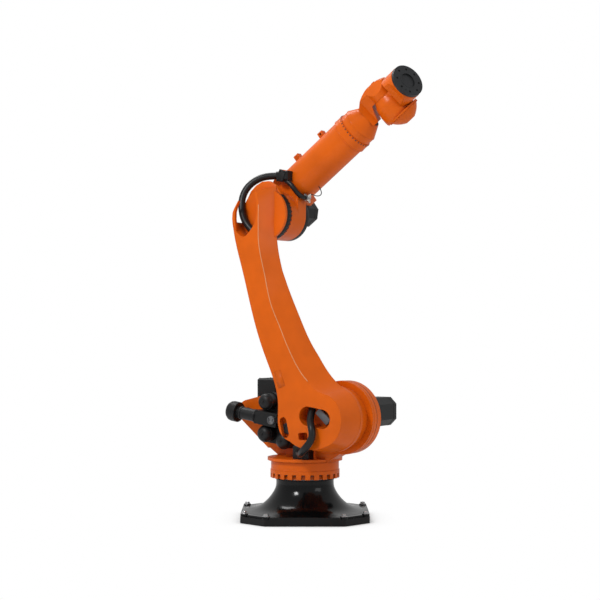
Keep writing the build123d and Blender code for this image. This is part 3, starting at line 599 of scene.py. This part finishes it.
class ROBOT_OT_paint(bpy.types.Operator):
    """Give each solid of the frame its finish"""
    bl_idname = "robot.paint"
    bl_label = "Paint Solids"

    def execute(self, context):
        make_finishes()
        slots = {s["node"]: s["material_slot"] for s in frame["record"]["subparts"]}
        for name, node in frame["nodes"].items():
            node.data.materials.clear()
            node.data.materials.append(FINISHES[NODE_FINISH[slots[name]]])
        return {"FINISHED"}


class ROBOT_OT_base(bpy.types.Operator):
    """Fit the base's bosses, anchor bolts and neck rim"""
    bl_idname = "robot.base"
    bl_label = "Base Bolts"

    def execute(self, context):
        radius = context.scene.robot_fasteners.anchor / MM
        home = Matrix.Identity(4)
        places = []
        for x in (-ANCHOR_LONG, ANCHOR_LONG):
            for y in (-ANCHOR_SHORT, ANCHOR_SHORT):
                places += [at(home, x, y, PLATE_TOP, "+Z", 17), at(home, y, x, PLATE_TOP, "+Z", 41)]
        bosses = copies(lathe([(0, 24.5), (17, 24.5), (18.5, 23.5)], 40), places)
        dress(bosses, "anchor_bosses", FINISHES["black_base_enamel"], "base")
        bolts = copies(hex_bolt(radius * 0.95), [place @ shifted(0, 0, 18.6) for place in places])
        dress(bolts, "anchor_bolts", FINISHES["bright_zinc_steel"], "base")
        neck = put(collar(176, 188.5, 7), at(home, 0, 0, 250))
        dress(neck, "base_neck_rim", FINISHES["black_base_enamel"], "base")
        return {"FINISHED"}


class ROBOT_OT_turntable(bpy.types.Operator):
    """Fit the turntable ring's bolts, lip and seam"""
    bl_idname = "robot.turntable"
    bl_label = "Turntable"

    def execute(self, context):
        radius = context.scene.robot_fasteners.casting / MM
        places = ring_of(at(COLUMN, 0, 0, 294, "-Z"), 211, 24)
        screws = copies(hex_bolt(radius), places)
        dress(screws, "turntable_pocket_bolts", FINISHES["burnished_oxide_steel"], "column")
        lip = put(collar(214, 220.5, 3), at(COLUMN, 0, 0, 369))
        dress(lip, "turntable_lip", FINISHES["orange_two_coat_paint"], "column")
        seam = put(collar(200, 219, 2), at(COLUMN, 0, 0, 373.4))
        dress(seam, "turntable_seam", FINISHES["black_moulded_nylon"], "column")
        return {"FINISHED"}


class ROBOT_OT_column(bpy.types.Operator):
    """Fit the drum's rim and groove, the side cover and the bolts of the far side"""
    bl_idname = "robot.column"
    bl_label = "Column"

    def execute(self, context):
        radius = context.scene.robot_fasteners.casting / MM
        paint = FINISHES["orange_two_coat_paint"]
        rim = put(collar(222, 231.5, 16), at(COLUMN, SHOULDER_X, -60, SHOULDER_Z, "-Y"))
        dress(rim, "drum_rim", paint, "column")
        groove = put(collar(226, 230.6, 4), at(COLUMN, SHOULDER_X, -40, SHOULDER_Z, "-Y"))
        dress(groove, "drum_groove", FINISHES["black_moulded_nylon"], "column")
        boss = copies(socket_screw(radius * 0.8),
                      ring_of(at(COLUMN, SHOULDER_X, 150, SHOULDER_Z, "+Y"), 112, 12, 15))
        dress(boss, "shoulder_boss_screws", paint, "column")
        cover = joined([put(lathe([(0, 74), (5, 74), (8, 70), (8, 30), (6, 28)], 48),
                            at(COLUMN, -60, 120, 640, "+Y"))]
                       + [put(socket_screw(5), p) for p in ring_of(at(COLUMN, -60, 127, 640, "+Y"), 62, 8)])
        dress(cover, "column_side_cover", paint, "column")
        shelf = copies(hex_bolt(radius),
                       [at(COLUMN, x, y, 560, "+Z") for x in (-400, -250) for y in (58, 182)])
        dress(shelf, "shelf_bolts", FINISHES["bright_zinc_steel"], "column")
        return {"FINISHED"}


class ROBOT_OT_motors(bpy.types.Operator):
    """Fit the motors' end covers, seams, screws and plugs"""
    bl_idname = "robot.motors"
    bl_label = "Motors"

    def execute(self, context):
        self.fit("shoulder_motor", at(COLUMN, 370, 385, 682, "+Y", 90), 91, 42, "column")
        self.fit("turntable_motor", at(COLUMN, -330, 120, 886, "+Z"), 80, 14, "column")
        self.fit("elbow_motor", at(FOREARM, 38, 210, 24, "+Y", 90), 86, 45, "forearm")
        return {"FINISHED"}

    def fit(self, name, face, half, cut, body):
        """A pressed end cover, a seam band, four screws and two round plugs on a motor of half this
        width, its corners cut by cut."""
        coat = FINISHES["black_powder_coat"]
        edge = half - cut
        outline = [(half, edge), (edge, half), (-edge, half), (-half, edge),
                   (-half, -edge), (-edge, -half), (edge, -half), (half, -edge)]
        inner = [(x * 0.8, y * 0.8) for x, y in outline]
        cover = put(plate(inner, 2.6, 1.2), face)
        dress(cover, name + "_end_cover", coat, body)
        band = [(x * 1.012, y * 1.012) for x, y in outline]
        seam = put(plate(band, 5, 1.0), face @ shifted(0, 0, -46))
        dress(seam, name + "_seam_band", coat, body)
        corner = (half + edge) / 2 * 0.86
        screws = copies(socket_screw(5), [face @ shifted(x, y, -1) for x in (-corner, corner)
                                          for y in (-corner, corner)])
        dress(screws, name + "_end_screws", FINISHES["burnished_oxide_steel"], body)
        plug = lathe([(0, 17), (6, 17), (8, 14), (26, 14), (26, 16), (44, 16), (48, 12), (52, 9)], 32)
        plugs = copies(plug, [face @ shifted(x, half, -100) @ FACING["+Y"] for x in (-24, 24)])
        dress(plugs, name + "_plugs", FINISHES["black_moulded_nylon"], body)


class ROBOT_OT_counterbalance(bpy.types.Operator):
    """Fit the counterbalance's barrel, caps, bands, clamps, gauge rings and gland"""
    bl_idname = "robot.counterbalance"
    bl_label = "Counterbalance"

    # The barrel's turned outline, from its domed cap to the rod's end: (along its axis, radius).
    barrel_steps = [(-80, 18), (-77, 38), (-69, 53), (-57, 62), (-42, 65.5), (0, 65.5), (3, 63),
                    (3, 39.5), (149, 39.5), (149, 32), (328, 32)]

    def execute(self, context):
        coat = FINISHES["black_powder_coat"]
        steel = FINISHES["bright_zinc_steel"]
        body = "counterbalance"
        caps = copies(lathe([(0, 7), (3, 7), (4.5, 5.5), (6, 3.5)], 24),
                      [at(BALANCE, x, -42, z, "-Y") for x, z in ACCUMULATORS])
        dress(caps, "accumulator_valve_caps", coat, body)
        bands = copies(collar(51, 54.5, 10, 64, 1.5),
                       [at(BALANCE, x, y, z, "-Y") for x, z in ACCUMULATORS for y in (2, 90)])
        dress(bands, "accumulator_bands", coat, body)
        rings = joined([collar(inner, inner + 3, 3, 48, 0.8) for inner in (5, 11, 17)]
                       + [collar(22.5, 27, 6, 48, 1.2)])
        put(rings, at(BALANCE, 286, -42.3, 0, "-Y"))
        dress(rings, "gauge_rings", FINISHES["grey_bracket_steel"], body)
        clamps = copies(collar(38, 43, 16, 48, 1.5), [at(BALANCE, x, 0, 0, "+X") for x in (18, 128)])
        dress(clamps, "cylinder_clamps", coat, body)
        dome = lathe(self.barrel_steps, 64)
        trunnion = put(lathe([(0, 24), (134, 24)], 40), FACING["+Y"])
        barrel = put(joined([put(dome, FACING["+X"]), trunnion]), BALANCE)
        dress(barrel, "counterbalance_barrel", coat, body)
        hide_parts("counterbalance_cylinder")
        rear = copies(socket_screw(5),
                      [at(BALANCE, -78.5, y, z, "-X") for y in (-18, 18) for z in (-18, 18)])
        dress(rear, "cylinder_cap_screws", steel, body)
        gland = put(lathe([(0, 31), (8, 31), (12, 27), (20, 26), (20, 22.4), (14, 22.2)], 40),
                    at(BALANCE, 330, 0, 0, "+X"))
        dress(gland, "rod_gland", coat, body)
        shaft = put(lathe([(0, 34), (10, 34), (14, 30), (14, 14), (10, 12)], 40),
                    at(COLUMN, TILT_X, 25, TILT_Z, "+Y"))
        dress(shaft, "trunnion_cap", FINISHES["orange_two_coat_paint"], "column")
        return {"FINISHED"}


class ROBOT_OT_link(bpy.types.Operator):
    """Fit the link arm's pad, horn, hood, a dark band round the elbow disc that is in part the gear ring and
    in part painted shade, a ridge bead whose pale paint is a painted highlight, pin washer and bar cover
    """
    bl_idname = "robot.link"
    bl_label = "Link Arm"

    # Outlines in the link arm's side view, from the shoulder axis.
    pad_line = [(-204, 270), (-152, 270), (-152, 378), (-204, 378)]
    horn_line = [(-190, 1318), (-184, 1360), (-175, 1396), (-160, 1429), (-142, 1448), (-115, 1469),
                 (-91, 1487), (-98, 1473), (-120, 1452), (-141, 1425), (-156, 1388), (-165, 1350),
                 (-172, 1314)]
    hood_line = [(-122, 1470), (-96, 1512), (-60, 1543), (-10, 1563), (42, 1569), (92, 1552),
                 (128, 1512), (148, 1440), (60, 1380), (-60, 1380)]
    # The ridge's points: across in hub radii, and up in lengths of the link.
    ridge_shares = [(0.21, 1.03), (0, 0.944), (-0.168, 0.868), (-0.303, 0.708), (-0.385, 0.581),
                    (-0.317, 0.461), (-0.24, 0.346), (-0.082, 0.232), (0.06, 0.18)]

    def execute(self, context):
        paint = FINISHES["orange_two_coat_paint"]
        pad = put(plate(self.pad_line, 1.2, 0.6), at(LINK, 0, -369.6, 0, "-Y"))
        dress(pad, "link_casting_pad", paint, "link")
        horn = put(plate(self.horn_line, 23, 2.0), at(LINK, 0, -345, 0, "-Y"))
        dress(horn, "link_rear_horn", paint, "link")
        hood = put(plate(self.hood_line, 34, 3.0), at(LINK, 0, -212, 0, "-Y"))
        dress(hood, "link_elbow_hood", paint, "link")
        face = at(LINK, 0, -207, LINK_LENGTH, "-Y")
        # In part the gear ring, in part painted shade: this dark band round the elbow disc's rim stands for
        # the shadowed gap between the link arm and the elbow housing.
        band_and_gap_shade = put(collar(163, 166.5, 41), face)
        dress(band_and_gap_shade, "elbow_gear_ring_and_gap_shade", FINISHES["black_moulded_nylon"], "link")
        dashes = copies(block((22, 6, 2.5), 0.6),
                        [place @ FACING["+X"] for place in ring_of(face @ shifted(0, 0, 20), 166, 36)])
        dress(dashes, "elbow_band_bolts", FINISHES["burnished_oxide_steel"], "link")
        self.ridge()
        washer = put(lathe([(0, 34), (5, 34), (7, 31), (7, 20), (4, 18), (4, 9), (9, 8)], 40),
                     at(LINK, -250, -336, 25, "-Y"))
        dress(washer, "lever_pin_washer", FINISHES["burnished_oxide_steel"], "link")
        bar = put(block((104, 44, 4), 1.2), at(LINK, 23, -334, 13, "-Y", -62))
        dress(bar, "hose_bar_cover", FINISHES["grey_bracket_steel"], "link")
        return {"FINISHED"}

    def ridge(self):
        """The rounded ridge between the near face and the sloping front face: a bead whose pale paint is a
        painted highlight along it.
        """
        data = bpy.data.curves.new("link_ridge", "CURVE")
        data.dimensions = "3D"
        spline = data.splines.new("BEZIER")
        spline.bezier_points.add(len(self.ridge_shares) - 1)
        for point, (x, z) in zip(spline.bezier_points, self.ridge_shares):
            point.co = LINK @ (Vector((x * HUB_RADIUS, LINK_FACE, z * LINK_LENGTH)) * MM)
            point.handle_left_type = point.handle_right_type = "AUTO"
        data.bevel_depth = 2.2 * MM
        data.bevel_resolution = 4
        dress(swept(data), "link_ridge_painted_highlight", FINISHES["painted_ridge_highlight"], "link")


class ROBOT_OT_hoses(bpy.types.Operator):
    """Lay the hoses along the routes of the part's source"""
    bl_idname = "robot.hoses"
    bl_label = "Hoses"

    # Routes in millimetres: lower in the column's frame, elbow in the link's, the others in the forearm's.
    lower = [(260, -319, 719), (267, -358, 664), (308, -404, 617), (322, -412, 566), (303, -416, 522),
             (264, -416, 482), (214, -376, 451), (160, -300, 440), (100, -228, 446), (100, -172.3, 446)]
    elbow = [(-102, -294, 1287), (-127, -294, 1334), (-137, -296, 1389), (-134, -294, 1441),
             (-125, -284, 1491), (-108, -268, 1537), (-76, -250, 1575), (-30, -226, 1601),
             (22, -198, 1611), (73, -170, 1602), (113, -150, 1587)]
    branch = [(200, -148, 128), (215, -150, 90), (217, -147, 50), (213, -134, 14), (212, -108, -14),
              (212, -72.3, -14)]
    loop = [(232.3, -52, -18), (252, -52, -18), (272, -46, -52), (296, -34, -66), (312, -20, -42),
            (312, -18, -2.4)]

    def execute(self, context):
        sizes = context.scene.robot_hoses
        lower = self.lay("lower_harness_hose", self.lower, COLUMN, sizes.harness, sizes.facets)
        self.finish(lower, "lower_hose")
        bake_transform(lower)
        elbow = self.lay("elbow_harness_hose", self.elbow, LINK, sizes.harness, sizes.facets)
        self.finish(elbow, "elbow_hose")
        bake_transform(elbow)
        branch = self.lay("connector_branch_hose", self.branch, FOREARM, sizes.branch, sizes.facets)
        self.finish(branch, "connector_hose")
        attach(branch, "forearm")
        loop = self.lay("loop_cable", self.loop, FOREARM, sizes.cable, 12)
        self.finish(loop, "motor_cable")
        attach(loop, "forearm")
        return {"FINISHED"}

    def lay(self, name, route, home, radius, facets):
        """A smooth hose on a NURBS line whose control points are the route's points."""
        data = bpy.data.curves.new(name, "CURVE")
        data.dimensions = "3D"
        spline = data.splines.new("NURBS")
        spline.points.add(len(route) - 1)
        for point, spot in zip(spline.points, route):
            point.co = (*(home @ (Vector(spot) * MM)), 1)
        spline.order_u = 3
        spline.use_endpoint_u = True
        spline.resolution_u = 10
        data.bevel_depth = radius
        data.bevel_resolution = facets // 4
        data.use_fill_caps = True
        return swept(data)

    def finish(self, hose, node):
        """Gives a hose its rubber and lets it stand for the solid of its node."""
        surface(hose, FINISHES["black_hose_rubber"], 60)
        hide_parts(node)


class ROBOT_OT_elbow(bpy.types.Operator):
    """Fit the elbow's ring and screws, the motor's rim band, the clamp's lid and the connectors"""
    bl_idname = "robot.elbow"
    bl_label = "Elbow"

    def execute(self, context):
        radius = context.scene.robot_fasteners.casting / MM
        paint = FINISHES["orange_two_coat_paint"]
        ring = put(collar(148, 156.5, 10), at(FOREARM, 0, -172, 0, "-Y"))
        dress(ring, "elbow_ring", paint, "forearm")
        screws = copies(socket_screw(radius * 0.62), ring_of(at(FOREARM, 0, -182, 0, "-Y"), 152.5, 36, 0))
        dress(screws, "elbow_ring_screws", FINISHES["burnished_oxide_steel"], "forearm")
        band = put(collar(122, 154.5, 40, 96, 3.0), at(FOREARM, 0, 20, 0, "-Y"))
        dress(band, "motor_rim_band", FINISHES["black_powder_coat"], "forearm")
        rim = copies(socket_screw(5), ring_of(at(FOREARM, 0, 0, 0, "+Y"), 137, 9, 100, 190))
        dress(rim, "motor_rim_screws", FINISHES["burnished_oxide_steel"], "forearm")
        lid = joined([put(block((74, 48, 5), 1.5), at(FOREARM, 205, -178, 158, "-Y", 35))]
                     + [put(hex_bolt(6), at(FOREARM, 205, -182.6, 158, "-Y", 35) @ shifted(x, y, 0))
                        for x in (-28, 28) for y in (-15, 15)])
        dress(lid, "hose_clamp_lid", FINISHES["black_moulded_nylon"], "forearm")
        nuts = copies(lathe([(0, 15), (7, 15), (9, 12), (14, 12), (14, 9), (22, 8)], 6),
                      [at(FOREARM, 212, -72, -14, "-Y"), at(FOREARM, 212, -50, -33, "-Z"),
                       at(FOREARM, 231, -52, -18, "+X")])
        dress(nuts, "connector_nuts", FINISHES["plated_connector_shell"], "forearm", 20)
        return {"FINISHED"}


class ROBOT_OT_forearm(bpy.types.Operator):
    """Fit the forearm tube's bands, screws and lug eyes"""
    bl_idname = "robot.forearm"
    bl_label = "Forearm"

    def execute(self, context):
        radius = context.scene.robot_fasteners.wrist / MM
        paint = FINISHES["orange_two_coat_paint"]
        dark = FINISHES["burnished_oxide_steel"]
        screws = copies(lathe([(0, radius), (5, radius), (6, radius * 0.8), (6, radius * 0.4),
                               (3, radius * 0.4)], 16),
                        ring_of(at(FOREARM, 716, 0, TUBE_RISE, "+X"), 121, 32, 3))
        dress(screws, "tube_front_screws", dark, "forearm")
        band = put(collar(117, 125.2, 7), at(FOREARM, 664, 0, TUBE_RISE, "+X"))
        dress(band, "tube_front_band", paint, "forearm")
        rear = put(collar(116, 119.5, 6), at(FOREARM, 190, 0, TUBE_RISE, "+X"))
        dress(rear, "tube_rear_band", paint, "forearm")
        back = copies(socket_screw(radius), ring_of(at(FOREARM, 189, 0, TUBE_RISE, "-X"), 104, 16, 0))
        dress(back, "tube_rear_screws", paint, "forearm")
        eyes = copies(lathe([(0, 14), (2, 14), (3, 12), (3, 8), (-1, 7)], 32),
                      [at(FOREARM, x, side * 20, 256, "+Y" if side > 0 else "-Y")
                       for x in (295, 520) for side in (-1, 1)])
        dress(eyes, "lug_eyes", paint, "forearm")
        return {"FINISHED"}


class ROBOT_OT_wrist(bpy.types.Operator):
    """Fit the wrist's band, screws, axis plug and barrel cone"""
    bl_idname = "robot.wrist"
    bl_label = "Wrist"

    # The barrel's turned outline: (along the bend axis, radius).
    cone_steps = [(-30, 79), (-12, 88), (0, 96), (20, 102), (60, 108), (92, 110), (112, 109),
                  (123.5, 104)]

    def execute(self, context):
        radius = context.scene.robot_fasteners.wrist / MM
        paint = FINISHES["orange_two_coat_paint"]
        dark = FINISHES["burnished_oxide_steel"]
        ring = put(collar(112, 119.5, 5), at(WRIST, 768, 0, 0, "+X"))
        dress(ring, "wrist_ring_band", paint, "wrist")
        nose = copies(socket_screw(radius), ring_of(at(WRIST, 853, 0, 0, "+X"), 66, 10, 30, 120))
        dress(nose, "wrist_nose_screws", dark, "wrist")
        cheek = put(lathe([(0, 13), (2, 13), (3, 11), (3, 6), (1, 5)], 32),
                    at(WRIST, BEND_REACH, -139.5, 0, "-Y"))
        dress(cheek, "cheek_axis_plug", paint, "wrist")
        cap = copies(socket_screw(radius), ring_of(at(HEAD, 25, 124, 0, "+Y"), 106, 14, 0))
        dress(cap, "wrist_cap_screws", paint, "head")
        cone = put(lathe(self.cone_steps, 72), at(HEAD, 0, 0, 0, "+Y"))
        dress(cone, "wrist_barrel_cone", paint, "head", 50)
        return {"FINISHED"}


class ROBOT_OT_flange(bpy.types.Operator):
    """Fit the tool flange's bore rim, dowel, hole rims and seal"""
    bl_idname = "robot.flange"
    bl_label = "Tool Flange"

    def execute(self, context):
        dark = FINISHES["burnished_oxide_steel"]
        rim = put(collar(48, 53, 1.2, 64, 0.5), at(HEAD, FLANGE_REACH, 0, 0, "+X"))
        dress(rim, "flange_bore_rim", dark, "flange")
        dowel = put(lathe([(0, 5.5), (0.8, 5.5), (1.2, 5)], 24),
                    at(HEAD, FLANGE_REACH, 0, 0, "+X", 22.5) @ shifted(80, 0, 0))
        dress(dowel, "flange_dowel", FINISHES["black_powder_coat"], "flange")
        seats = copies(collar(5, 8, 0.5, 24, 0), ring_of(at(HEAD, FLANGE_REACH, 0, 0, "+X"), 80, 8))
        dress(seats, "flange_hole_rims", FINISHES["black_moulded_nylon"], "flange")
        seal = put(collar(100, 106.8, 3), at(HEAD, 197.5, 0, 0, "+X"))
        dress(seal, "flange_seal", FINISHES["orange_two_coat_paint"], "head")
        return {"FINISHED"}


class ROBOT_PT_panel(bpy.types.Panel):
    """Lists the arm's sizes and groups in the sidebar"""
    bl_idname = "ROBOT_PT_panel"
    bl_label = "Robot Arm"
    bl_space_type = "VIEW_3D"
    bl_region_type = "UI"
    bl_category = "Robot Arm"

    def draw(self, context):
        for group in ("robot_colours", "robot_fasteners", "robot_hoses"):
            box = self.layout.box()
            values = getattr(context.scene, group)
            for name in values.__annotations__:
                box.prop(values, name)
        for operator in OPERATORS:
            self.layout.operator(operator.bl_idname)


GROUPS = ((FinishColours, "robot_colours"), (FastenerSizes, "robot_fasteners"), (HoseSizes, "robot_hoses"))
OPERATORS = (ROBOT_OT_stage, ROBOT_OT_paint, ROBOT_OT_hoses, ROBOT_OT_base, ROBOT_OT_turntable,
             ROBOT_OT_column, ROBOT_OT_motors, ROBOT_OT_counterbalance, ROBOT_OT_link, ROBOT_OT_elbow,
             ROBOT_OT_forearm, ROBOT_OT_wrist, ROBOT_OT_flange)


def register():
    for group, name in GROUPS:
        bpy.utils.register_class(group)
        setattr(bpy.types.Scene, name, PointerProperty(type=group))
    for cls in (*OPERATORS, ROBOT_PT_panel):
        bpy.utils.register_class(cls)


def unregister():
    for cls in (ROBOT_PT_panel, *reversed(OPERATORS)):
        bpy.utils.unregister_class(cls)
    for group, name in reversed(GROUPS):
        delattr(bpy.types.Scene, name)
        bpy.utils.unregister_class(group)


def main():
    """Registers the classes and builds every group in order."""
    register()
    for operator in OPERATORS:
        family, action = operator.bl_idname.split(".")
        getattr(getattr(bpy.ops, family), action)()


if __name__ == "__main__":
    main()
